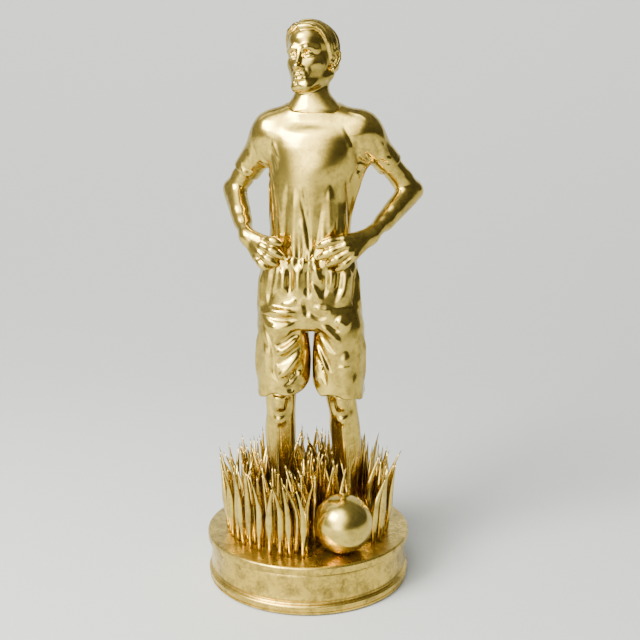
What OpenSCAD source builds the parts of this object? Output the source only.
// Figure trophy: a standing player on a turned round base, in tall grass, with a ball at the feet.
// +Z is up, the figure faces -Y, and the origin is the centre of the base on the surface it stands on.

/* [Base] */
// Diameter of the base at its lip
base_d = 113; // [96:1:140]
// Height of the base, from the table to the top of the plate
base_h = 27; // [22:0.5:40]
// Height of the lip that runs round the top plate
lip_h = 4.4; // [3.5:0.1:8]
// Rounding of the lip's top edge
lip_round = 1.2; // [0.4:0.1:1.6]
// How far the drum stands in from the lip
drum_inset = 1.6; // [0.6:0.1:4]
// How deep the hollow round the drum's waist is
waist_depth = 0.5; // [0.2:0.1:1.2]
// Wall of the drum
drum_wall = 4; // [3:0.5:7]
// Height of the foot ring
foot_h = 8; // [6:0.5:10]
// Thickness of the steel plate that closes the base
closing_t = 4; // [3:0.5:5]
// Thickness of the felt under the base
felt_t = 1.5; // [1:0.1:3]
// How far the felt stands below the foot ring
felt_proud = 0.6; // [0.2:0.1:0.9]

/* [Figure] */
// Height of the figure, from its soles to the top of its hair
figure_h = 273; // [245:1:300]
// Sideways place of the figure on the base
figure_x = 3; // [-2:0.5:4]

/* [Ball] */
// Diameter of the ball
ball_d = 31; // [20:1:33]
// Distance of the ball from the base's centre
ball_reach = 40.4; // [38:0.1:42]
// Direction of the ball from the base's centre, in degrees
ball_angle = -62.3; // [-66:0.1:-58]

/* [Grass] */
// Diameter of the round bed that the grass fills
bed_d = 95; // [84:1:104]
// Height of the tallest blades
blade_h = 51; // [30:1:60]
// Distance from one blade to the next
blade_pitch = 5.6; // [5.2:0.1:8]
// Thickness of each blade at its belly
blade_d = 3.4; // [2:0.1:3.6]
// Thickness of the root plates that the blades stand on
root_t = 1.6; // [1:0.1:2.2]

/* [Fixings] */
// Diameter of the studs under the shoes
leg_stud_d = 5; // [4:0.5:6]
// Diameter of the stud under the ball
ball_stud_d = 3; // [2.5:0.5:4]
// Diameter of the pins under the root plates
root_pin_d = 2; // [1.5:0.5:2.5]
// Diameter of the screws that close the base
screw_d = 4; // [3:0.5:5]
// Gap round a pin or stud in its hole
fit_gap = 0.1; // [0.05:0.01:0.2]
// Gap between castings that lie side by side
casting_gap = 0.3; // [0.2:0.05:0.5]

/* [Hidden] */
$fn = 48;
eps = 0.01;

GOLD = [0.86, 0.68, 0.33];
STEEL = [0.62, 0.63, 0.65];
BRASS = [0.80, 0.68, 0.36];
FELT = [0.06, 0.06, 0.07];

// ---------- Base values
base_r = base_d / 2;
lip_z = base_h - lip_h;
foot_z = felt_t - felt_proud;
drum_z = foot_z + foot_h;
drum_r = base_r - drum_inset;
drum_bore = drum_r - waist_depth - drum_wall;
foot_edge = 0.6;
strip_h = 1.8;
closing_z = felt_t;
closing_top = closing_z + closing_t;
closing_r = drum_bore + 1.5;
plug_z = lip_z - 2.5;
pillar_r = 4.5;
pillar_reach = drum_bore - pillar_r - 2.2;
pillar_spigot = 2.2;
// The pillars stand clear of the studs, at unequal turns
pillar_turns = [60, 122, 200, -22];
screw_head_r = screw_d / 2 + 1.9;
screw_head_h = 2.2;
screw_l = 9;

// ---------- Figure values: the landmarks below are millimetres on a figure 273 mm tall
k = figure_h / 273;
function place(v) = [figure_x + v.x * k, v.y * k, base_h + v.z * k];
function ankle(i) = [figure_x + [right, left][i] * ankle_x * k, ankle_y * k];
// Sides: -1 is the figure's right, +1 its left
right = -1;
left = 1;
ankle_x = 19;
ankle_y = 4;
// Each shoe: how far it turns out, its half width, and its reach behind and ahead of the ankle
splay = [-10, 24];
shoe_half_w = 7.4;
heel_l = 10;
toe_l = 29;
waist_z = 151.5;
neck_z = 227;
spigot_r = 10.5;
spigot_x = 8;
spigot_h = 12;
leg_recess_r = 11;
leg_socket_r = 6;
leg_recess_top = 86;
leg_socket_h = 14;
leg_axis_x = [-17.4, 14.6];
arm_pin_r = 2.6;
arm_pin_l = 7;
neck_pin_r = 3;
neck_pin_l = 11;

// ---------- Ball and grass values
ball_r = ball_d / 2;
ball_x = ball_reach * cos(ball_angle);
ball_y = ball_reach * sin(ball_angle);
ball_clear = 1.5;
// The ball is cut flat where it stands, over this radius
ball_seat = 0.35;
ball_foot_r = sqrt(ball_r * ball_r - (ball_r - ball_seat) * (ball_r - ball_seat));
bed_r = bed_d / 2;
shoe_clear = 1.2;

// ---------- Shapes that repeat
// Rings of points, each with the same count, skinned into one closed solid
module skin(rings) {
    n = len(rings[0]);
    m = len(rings);
    points = [for (r = rings) each r];
    sides = [for (i = [0:m - 2], j = [0:n - 1])
        let (a = i * n + j, b = i * n + (j + 1) % n, c = b + n, d = a + n) each [[a, c, b], [a, d, c]]];
    bottom = [[for (j = [0:n - 1]) j]];
    top = [[for (j = [n - 1:-1:0]) (m - 1) * n + j]];
    polyhedron(points, concat(bottom, sides, top), convexity = 6);
}

// A level oval: v is [x, y, z] of its centre, turned by yaw
function oval(v, rx, ry, n, yaw = 0) = [for (j = [0:n - 1])
    let (a = 360 * j / n, x = rx * cos(a), y = ry * sin(a))
    place([v.x + x * cos(yaw) - y * sin(yaw), v.y + x * sin(yaw) + y * cos(yaw), v.z])];

function unit(v) = v / norm(v);
// The direction of a path at point i
function heading(path, i) = unit(path[min(i + 1, len(path) - 1)] - path[max(i - 1, 0)]);
// A ring round point i of a path, r in radius, square to the path
function ring_at(path, i, r, n) = let (t = heading(path, i), u = unit(cross(t, [0.31, 0.94, 0.13])), w = cross(t, u))
    [for (j = [0:n - 1]) place(path[i] + r * (cos(360 * j / n) * u + sin(360 * j / n) * w))];
// A limb: a tube through the path's points, each with its own radius
module limb(path, radii, n) {
    skin([for (i = [0:len(path) - 1]) ring_at(path, i, radii[i], n)]);
}

// A cylinder from a to b, both points of the figure
module rod(a, b, r) {
    p = place(a);
    d = place(b) - p;
    translate(p) rotate([0, acos(d.z / norm(d)), atan2(d.y, d.x)]) cylinder(r = r * k, h = norm(d));
}

module hex_nut(d, h) {
    difference() {
        cylinder(r = d * 0.95, h = h, $fn = 6);
        translate([0, 0, -eps]) cylinder(r = d / 2 + fit_gap, h = h + 2 * eps);
    }
}

module washer(d, t) {
    difference() {
        cylinder(r = d * 1.1, h = t);
        translate([0, 0, -eps]) cylinder(r = d / 2 + fit_gap, h = t + 2 * eps);
    }
}

// ---------- Base
module felt_pad() {
    color(FELT) cylinder(r = closing_r - 0.4, h = felt_t);
}

module at_pillars() {
    for (a = pillar_turns) rotate(a) translate([pillar_reach, 0, 0]) children();
}

module closing_plate() {
    color(STEEL) difference() {
        translate([0, 0, closing_z]) cylinder(r = closing_r - fit_gap, h = closing_t);
        at_pillars() translate([0, 0, closing_z - eps]) {
            cylinder(r = screw_d / 2 + 2 * fit_gap, h = closing_t + 2 * eps);
            cylinder(r = screw_head_r + 2 * fit_gap, h = screw_head_h + fit_gap + eps);
        }
    }
}

module closing_screws() {
    color(STEEL) at_pillars() translate([0, 0, closing_z + fit_gap]) difference() {
        union() {
            cylinder(r = screw_head_r, h = screw_head_h);
            cylinder(r = screw_d / 2, h = closing_t + screw_l);
        }
        translate([0, 0, -eps]) cylinder(r = screw_d * 0.35, h = screw_head_h * 0.7, $fn = 6);
    }
}

// The moulding at the foot: a flat strip, a small step and a cove that sweeps up to the drum
module foot_ring() {
    cove_h = foot_h - strip_h - foot_edge;
    cove_w = drum_inset * 0.8;
    cove_r = (cove_h * cove_h + cove_w * cove_w) / (2 * cove_w);
    top_r = drum_r - waist_depth * 0.4;
    color(GOLD) difference() {
        rotate_extrude($fn = 96) translate([0, foot_z]) difference() {
            union() {
                translate([drum_bore - 1.5, 0]) square([base_r - foot_edge * 1.6 - drum_bore + 1.5, strip_h]);
                translate([drum_bore - 1.5, strip_h - eps])
                    square([top_r + cove_w - drum_bore + 1.5, foot_h - strip_h + eps]);
            }
            translate([top_r + cove_r, foot_h]) circle(r = cove_r);
        }
        translate([0, 0, foot_z - eps]) cylinder(r = closing_r, h = closing_top - foot_z + eps);
    }
}

// The drum: a tube whose outside is drawn in a little at the waist, by one large arc
module drum_shell() {
    drum_h = lip_z - drum_z;
    half = drum_h / 2;
    arc_r = (half * half + waist_depth * waist_depth) / (2 * waist_depth);
    color(GOLD) rotate_extrude($fn = 96) difference() {
        translate([drum_bore, drum_z]) square([drum_r - drum_bore, drum_h]);
        translate([drum_r - waist_depth + arc_r, drum_z + half]) circle(r = arc_r);
    }
}

module pillars() {
    color(STEEL) at_pillars() difference() {
        union() {
            translate([0, 0, closing_top]) cylinder(r = pillar_r, h = plug_z - closing_top);
            translate([0, 0, plug_z - eps]) cylinder(r = pillar_spigot, h = 3);
        }
        translate([0, 0, closing_top - eps]) cylinder(r = screw_d / 2 + fit_gap, h = screw_l + 1);
    }
}

module top_plate() {
    color(GOLD) difference() {
        union() {
            translate([0, 0, plug_z]) cylinder(r = drum_bore - fit_gap, h = base_h - plug_z - 1);
            rotate_extrude($fn = 96) translate([0, lip_z]) difference() {
                square([base_r, lip_h]);
                translate([base_r - lip_round, lip_h - lip_round]) difference() {
                    square(lip_round + eps);
                    circle(r = lip_round);
                }
                translate([base_r + 0.1, 0]) circle(r = 0.5);
            }
        }
        at_pillars() translate([0, 0, plug_z - eps]) cylinder(r = pillar_spigot + fit_gap, h = 3 + 2 * fit_gap);
        at_leg_studs() translate([0, 0, plug_z - 1]) cylinder(r = leg_stud_d / 2 + fit_gap, h = base_h);
        translate([ball_x, ball_y, plug_z - 1]) cylinder(r = ball_stud_d / 2 + fit_gap, h = base_h);
        for (s = TURF) {
            translate([0, 0, base_h - root_t]) linear_extrude(root_t + 1) turf_outline(s, casting_gap / 3);
            for (p = turf_pins(s))
                translate([p.x, p.y, plug_z - 1]) cylinder(r = root_pin_d / 2 + fit_gap, h = base_h);
        }
    }
}

// ---------- Ball and its fixings
module ball() {
    color(GOLD) translate([ball_x, ball_y, base_h]) difference() {
        translate([0, 0, ball_r - ball_seat]) sphere(r = ball_r, $fn = 96);
        translate([0, 0, -ball_r]) cylinder(r = ball_r, h = ball_r);
        translate([0, 0, -eps]) cylinder(r = ball_stud_d / 2 + fit_gap, h = ball_r * 0.6);
    }
}

ball_nut_h = 2.4;
washer_t = 0.8;
module ball_stud() {
    low = plug_z - washer_t - ball_nut_h - 1.5;
    color(STEEL) translate([ball_x, ball_y, low]) cylinder(r = ball_stud_d / 2, h = base_h + ball_r * 0.55 - low);
}

module ball_washer() {
    color(STEEL) translate([ball_x, ball_y, plug_z - washer_t]) washer(ball_stud_d, washer_t);
}

module ball_nut() {
    color(STEEL) translate([ball_x, ball_y, plug_z - washer_t - ball_nut_h]) hex_nut(ball_stud_d, ball_nut_h);
}

// ---------- Head
head_turn = -28;
head_c = [-0.6, 1, 255];
module head() {
    n = 16;
    // Level sections from the neck's foot to the crown: height, shift forward, half width, half depth
    sections = [[neck_z + 0.3, 0, 8.7, 8.7], [233, 0, 8.6, 8.6], [236.5, 2, 9.4, 11.2],
        [241, 2, 10.8, 13.8], [249, 0.5, 12.7, 16], [258, 0, 13.4, 16.4], [265, -0.4, 12.4, 15.2],
        [270, -0.6, 9.2, 11.6], [273, -0.8, 3.5, 4.5]];
    f = [sin(head_turn), -cos(head_turn)];
    color(GOLD) difference() {
        union() {
            skin([for (s = sections)
                oval([head_c.x + s[1] * f.x, head_c.y + s[1] * f.y, s[0]], s[2], s[3], n, head_turn)]);
            // The ears
            for (side = [-1, 1]) translate(place([head_c.x, head_c.y, 0])) rotate(head_turn)
                translate([side * 12.4 * k, 2 * k, 250 * k]) rotate([0, 90, 0])
                    cylinder(r = 3.4 * k, h = 3 * k, center = true, $fn = 12);
        }
        rod([head_c.x, head_c.y, neck_z - 1], [head_c.x, head_c.y, neck_z + neck_pin_l + 1], neck_pin_r + fit_gap);
    }
}

module neck_pin() {
    color(STEEL) rod([head_c.x, head_c.y, neck_z - neck_pin_l], [head_c.x, head_c.y, neck_z + neck_pin_l], neck_pin_r);
}

// ---------- Shirt
body_turn = -12;
// The shoulder, the elbow and the wrist of each arm, right then left
shoulders = [[-22, 5, 217], [26, -4, 217]];
elbows = [[-43.7, 22, 187], [53.4, 15, 186.5]];
wrists = [[-35.4, -2, 163.5], [30.4, -8, 164]];
sleeve_share = [0.66, 0.54];
sleeve_r = [7.4, 7.8];
function sleeve_end(i) = shoulders[i] + sleeve_share[i] * (elbows[i] - shoulders[i]);
arm_recess = 3;
function arm_root(i) = sleeve_end(i) - arm_recess * unit(elbows[i] - shoulders[i]);

module shirt() {
    n = 20;
    // Height, centre x, centre y, half width, half depth
    sections = [[waist_z, -1.6, 0, 23.6, 15], [160, -1.6, 0, 22.6, 14.2], [175, -1.6, 0, 21.8, 13.6],
        [190, -1.2, 0.5, 22.2, 14.8], [201, 0.8, 0.5, 24.4, 16.2], [212, 0.8, 1, 27, 15.8], [221, 0.6, 1, 26.4, 13.2],
        [226.5, 0.2, 1, 20, 11.2], [230, 0, 1, 14, 10], [232.5, -0.4, 1, 10.6, 9.8]];
    color(GOLD) difference() {
        union() {
            skin([for (s = sections) oval([s[1], s[2], s[0]], s[3], s[4], n, body_turn)]);
            for (i = [0, 1]) {
                t = unit(elbows[i] - shoulders[i]);
                limb([shoulders[i] - 7 * t, shoulders[i] - 3 * t, shoulders[i] + 3 * t, shoulders[i] + 10 * t, sleeve_end(i)],
                    [3.5, 7.4, 9.2, sleeve_r[i] + 1.2, sleeve_r[i]], 14);
            }
        }
        // The hollow of the casting, open at the waist
        for (side = [-1, 1]) rod([-1.6 + side * spigot_x, 0, waist_z - 1], [-1.6 + side * spigot_x, 0, 205], spigot_r);
        // The seat of the neck and its pin
        rod([head_c.x, head_c.y, neck_z], [head_c.x, head_c.y, 235], 8.7 + casting_gap);
        rod([head_c.x, head_c.y, neck_z - neck_pin_l - 0.5], [head_c.x, head_c.y, 235], neck_pin_r + fit_gap);
        // The mouths of the sleeves and the sockets of the arms' pins
        for (i = [0, 1]) {
            t = unit(elbows[i] - shoulders[i]);
            rod(arm_root(i), sleeve_end(i) + 3 * t, sleeve_r[i] - 1.6);
            rod(arm_root(i) - (arm_pin_l + 0.5) * t, sleeve_end(i), arm_pin_r + fit_gap);
        }
    }
}

// ---------- Arms
// Each hand: the palm's far end, then the tips of the fingers from index to little, then the tip of the thumb
palms = [[-30, -10, 159], [19.5, -16.8, 159.5]];
finger_tips = [[[-17.6, -14.8, 160.6], [-17, -15.8, 154.5], [-20, -14.6, 149.6], [-24.5, -12, 147.4]],
    [[2.6, -18.4, 159.6], [3.4, -18.4, 153.6], [8, -18, 149.4], [13, -16.6, 146.8]]];
thumb_tips = [[-29.5, 8, 161], [27, 3.5, 161]];
finger_r = 1.9;
module arm(i) {
    s = shoulders[i];
    e = elbows[i];
    w = wrists[i];
    root = arm_root(i);
    t = unit(e - s);
    mouth = sleeve_end(i);
    up = unit(e - s);
    fore = unit(w - e);
    bend_in = e - 5 * up;
    bend_out = e + 5 * fore;
    palm = palms[i];
    hand_mid = (w + palm) / 2;
    color(GOLD) union() {
        limb([root, (mouth + bend_in) / 2, bend_in, e + 0.4 * (up - fore), bend_out,
            e + 0.35 * (w - e), e + 0.7 * (w - e), w, hand_mid],
            [sleeve_r[i] - 2.2, 5.6, 5.3, 5.6, 5.7, 5.8, 4.8, 3.7, 4], 10);
        limb([w - 1.5 * fore, hand_mid, palm + 1.5 * unit(palm - w)], [3.5, 4.6, 3], 8);
        for (j = [0:3]) {
            tip = finger_tips[i][j];
            knuckle = palm + [0, 0, 2.6 - 1.9 * j];
            limb([hand_mid + 0.3 * (knuckle - hand_mid), knuckle, (knuckle + tip) / 2 + [0, -0.5, 0], tip],
                [finger_r, finger_r, finger_r * 0.95, finger_r * 0.6], 6);
        }
        limb([w, hand_mid + 0.5 * (thumb_tips[i] - hand_mid), thumb_tips[i]], [2.6, 2.2, 1.4], 6);
        rod(root - arm_pin_l * t, root + 2 * t, arm_pin_r);
    }
}

module right_arm() {
    arm(0);
}

module left_arm() {
    arm(1);
}

// ---------- Shorts
module waist_spigot() {
    low = waist_z - spigot_h / 2;
    color(BRASS) intersection() {
        for (side = [-1, 1])
            rod([-1.6 + side * spigot_x, 0, low], [-1.6 + side * spigot_x, 0, low + spigot_h], spigot_r - fit_gap);
        translate([-base_r, -base_r, 0]) cube([base_d, base_d, 2 * figure_h]);
    }
}

module shorts() {
    n = 20;
    m = 16;
    // Height, centre x, centre y, half width, half depth
    seat = [[112, -1.4, 0.5, 29.2, 15.6], [122, -2, 0.8, 28.2, 17.4], [133, -2.4, 0.8, 27.6, 17.2],
        [146, -2.1, 0.2, 26.2, 16], [waist_z, -1.9, 0, 25.2, 15.6]];
    right_tube = [[78, -17.8, -0.5, 12.8, 14.4], [95, -17.4, -0.5, 13.2, 15], [112, -16.4, 0, 14, 15.6], [122, -15.6, 0.4, 13, 14]];
    left_tube = [[77, 13.9, -0.5, 14, 14.8], [95, 13.9, -0.5, 14.1, 15.2], [112, 13.6, 0, 14, 15.6], [122, 11.6, 0.4, 13, 14]];
    color(GOLD) difference() {
        union() {
            skin([for (s = seat) oval([s[1], s[2], s[0]], s[3], s[4], n, body_turn / 2)]);
            for (tube = [right_tube, left_tube])
                skin([for (s = tube) oval([s[1], s[2], s[0]], s[3], s[4], m)]);
        }
        for (side = [-1, 1]) rod([-1.6 + side * spigot_x, 0, 128], [-1.6 + side * spigot_x, 0, waist_z + 1], spigot_r);
        for (x = leg_axis_x) {
            rod([x, -0.5, 70], [x, -0.5, leg_recess_top], leg_recess_r);
            rod([x, -0.5, 80], [x, -0.5, leg_recess_top + leg_socket_h + 0.5], leg_socket_r + fit_gap);
        }
    }
}

// ---------- Legs
module leg(i) {
    n = 14;
    side = [right, left][i];
    x = leg_axis_x[i];
    a = side * ankle_x;
    // Height, centre x, centre y, half width, half depth
    shin = [[9, a, ankle_y, 5.4, 6.4], [16, a, ankle_y, 5, 6.2], [30, a - side * 0.3, ankle_y, 6.6, 7.8],
        [47, a - side * 0.6, ankle_y - 0.8, 8, 9.4], [60, (a + x) / 2, 1.6, 8.6, 9.6],
        [70, x + side * 0.6, 0.2, 8.5, 9.2], [leg_recess_top, x, -0.5, 9, 9.4]];
    // Along the shoe, from heel to toe: reach ahead of the ankle, half width, height
    shoe = [[-1, 0.6, 0.64], [-0.6, 0.84, 0.97], [0, 0.84, 1], [0.32, 0.88, 0.78], [0.66, 1, 0.56],
        [0.88, 0.9, 0.44], [1, 0.5, 0.28]];
    color(GOLD) difference() {
        union() {
            skin([for (s = shin) oval([s[1], s[2], s[0]], s[3], s[4], n)]);
            skin([for (s = shoe) let (ahead = s[0] * (s[0] < 0 ? heel_l : toe_l))
                [for (j = [0:n - 1]) let (b = 360 * j / n, across = s[1] * shoe_half_w * cos(b))
                    place([a + across * cos(splay[i]) + ahead * sin(splay[i]),
                        ankle_y + across * sin(splay[i]) - ahead * cos(splay[i]),
                        max(0, 12.4 * s[2] * (0.42 + 0.58 * sin(b)))])]]);
            rod([x, -0.5, leg_recess_top - 2], [x, -0.5, leg_recess_top + leg_socket_h], leg_socket_r);
        }
        translate(place([a, ankle_y, 0]) - [0, 0, 1]) cylinder(r = leg_stud_d / 2 + fit_gap, h = 1 + leg_stud_in + 1);
    }
}

module right_leg() {
    leg(0);
}

module left_leg() {
    leg(1);
}

leg_stud_in = 9;
leg_nut_h = 4;
module at_leg_studs() {
    for (i = [0, 1]) translate(ankle(i)) children();
}

module leg_studs() {
    low = plug_z - washer_t - leg_nut_h - 2;
    color(STEEL) at_leg_studs() translate([0, 0, low]) cylinder(r = leg_stud_d / 2, h = base_h + leg_stud_in - low);
}

module leg_washers() {
    color(STEEL) at_leg_studs() translate([0, 0, plug_z - washer_t]) washer(leg_stud_d, washer_t);
}

module leg_nuts() {
    color(STEEL) at_leg_studs() translate([0, 0, plug_z - washer_t - leg_nut_h]) hex_nut(leg_stud_d, leg_nut_h);
}

// ---------- Grass: root plates let flush into the top plate, with the blades standing on them
far = base_d;
g = casting_gap / 2;
cut_right = figure_x - ankle_x * k;
cut_left = figure_x + ankle_x * k;
front_cut = -9;
back_cut = 14;
side_cut = 4;
// The left shoe turns out, so the cut ahead of it starts at the tip of its toe
toe_side = toe_l * sin(splay[1]) * k;
// Each plate's rectangle: x from, x to, y from, y to. The bed's circle, the shoes and the ball trim it.
TURF = [
    [-far, cut_right - g, -far, side_cut - g],
    [-far, cut_right - g, side_cut + g, far],
    [cut_right + g, figure_x - g, -far, front_cut - g],
    [cut_right + g, figure_x - g, front_cut + g, back_cut - g],
    [cut_right + g, figure_x - g, back_cut + g, far],
    [figure_x + g, cut_left + toe_side - g, -far, front_cut - g],
    [figure_x + g, cut_left - g, front_cut + g, back_cut - g],
    [figure_x + g, cut_left - g, back_cut + g, far],
    [cut_left + toe_side + g, far, -far, side_cut - g],
    [cut_left + g, far, side_cut + g, far]
];

// A shoe's place on the bed, round at the heel and the toe, with room round it
shoe_r = shoe_half_w * k;
shoe_back = heel_l * k - shoe_r;
shoe_front = toe_l * k - shoe_r;
module shoe_seat(i, room) {
    translate(ankle(i)) rotate(splay[i]) {
        translate([-shoe_r - room, -shoe_front]) square([2 * (shoe_r + room), shoe_front + shoe_back]);
        for (y = [-shoe_front, shoe_back]) translate([0, y]) circle(r = shoe_r + room);
    }
}

module turf_outline(s, grow = 0) {
    difference() {
        intersection() {
            translate([s[0] - grow, s[2] - grow]) square([s[1] - s[0] + 2 * grow, s[3] - s[2] + 2 * grow]);
            circle(r = bed_r + grow, $fn = 96);
        }
        for (i = [0, 1]) shoe_seat(i, shoe_clear - grow);
        translate([ball_x, ball_y]) circle(r = ball_foot_r + 2 - grow);
    }
}

// How far a point of the bed lies from the middle line of a shoe
function shoe_ahead(p, i) = (p - ankle(i)) * [sin(splay[i]), -cos(splay[i])];
function shoe_across(p, i) = (p - ankle(i)) * [cos(splay[i]), sin(splay[i])];
function from_shoe(p, i) = let (a = shoe_ahead(p, i))
    norm([shoe_across(p, i), a - min(max(a, -shoe_back), shoe_front)]);
shin_room = 9.6 * k + blade_d / 2 + 0.6;
function off_shoe(p, i) = norm(p - ankle(i)) > shin_room && from_shoe(p, i) > shoe_r + shoe_clear + blade_d / 4 + 0.3;
function inside(p, s, edge) = p.x > s[0] + edge && p.x < s[1] - edge && p.y > s[2] + edge && p.y < s[3] - edge
    && norm(p) < bed_r - 1 && norm(p - [ball_x, ball_y]) > ball_r + ball_clear + blade_d / 2
    && off_shoe(p, 0) && off_shoe(p, 1);
// Where blades can stand: a triangular grid, each point moved a little by a fixed random draw
grid_n = ceil(bed_d / blade_pitch);
loose = (blade_pitch - blade_d) * 0.16;
GRID = [for (i = [-grid_n:grid_n], j = [-grid_n:grid_n])
    let (w = rands(-loose, loose, 4, 1000 + 97 * i + j))
        [blade_pitch * (i + 0.5 * (j % 2)) + w[0], blade_pitch * 0.866 * j + w[1], w[2] / loose, w[3] / loose]];
foot_edge_gap = 1.1;
function blades_of(s) = [for (p = GRID) if (inside([p.x, p.y], s, foot_edge_gap)) p];
// Two pins for each plate, under the first and last of its blades that stand clear of the pillars below
function off_pillars(p) = min([for (a = pillar_turns) norm([p.x, p.y] - pillar_reach * [cos(a), sin(a)])])
    > pillar_spigot + root_pin_d / 2 + 1.2;
function turf_pins(s) = let (b = [for (p = blades_of(s)) if (off_pillars(p)) p]) [b[0], b[len(b) - 1]];

blade_sides = 5;
// Along a blade: share of its height, share of its half thickness
BLADE = [[0, 0.5], [0.35, 1], [0.68, 0.72], [1, 0.08]];
module blade(p) {
    h = blade_h * (0.88 + 0.12 * p[2]);
    // Blades lean outwards, more towards the rim, and each bends a little its own way
    lean = [p.x, p.y] * 0.07;
    skin([for (b = BLADE) let (z = b[0], r = blade_d / 2 * b[1])
        [for (j = [0:blade_sides - 1]) let (a = 360 * j / blade_sides + 40 * p[3])
            [p.x + r * cos(a) + lean.x * z * z, p.y + r * sin(a) + lean.y * z * z, base_h - 0.4 + z * h]]]);
}

module turf(i) {
    s = TURF[i];
    color(GOLD) union() {
        translate([0, 0, base_h - root_t]) linear_extrude(root_t) turf_outline(s);
        for (p = blades_of(s)) blade(p);
        for (p = turf_pins(s)) translate([p.x, p.y, plug_z + 0.2]) cylinder(r = root_pin_d / 2, h = base_h - root_t / 2 - plug_z);
    }
}

felt_pad();
closing_plate();
closing_screws();
foot_ring();
drum_shell();
pillars();
top_plate();
ball();
ball_stud();
ball_washer();
ball_nut();
head();
neck_pin();
shirt();
right_arm();
left_arm();
waist_spigot();
shorts();
right_leg();
left_leg();
leg_studs();
leg_washers();
leg_nuts();
turf(0);  // turf_right_front
turf(1);  // turf_right_back
turf(2);  // turf_inner_right_front
turf(3);  // turf_inner_right_middle
turf(4);  // turf_inner_right_back
turf(5);  // turf_inner_left_front
turf(6);  // turf_inner_left_middle
turf(7);  // turf_inner_left_back
turf(8);  // turf_left_front
turf(9);  // turf_left_back
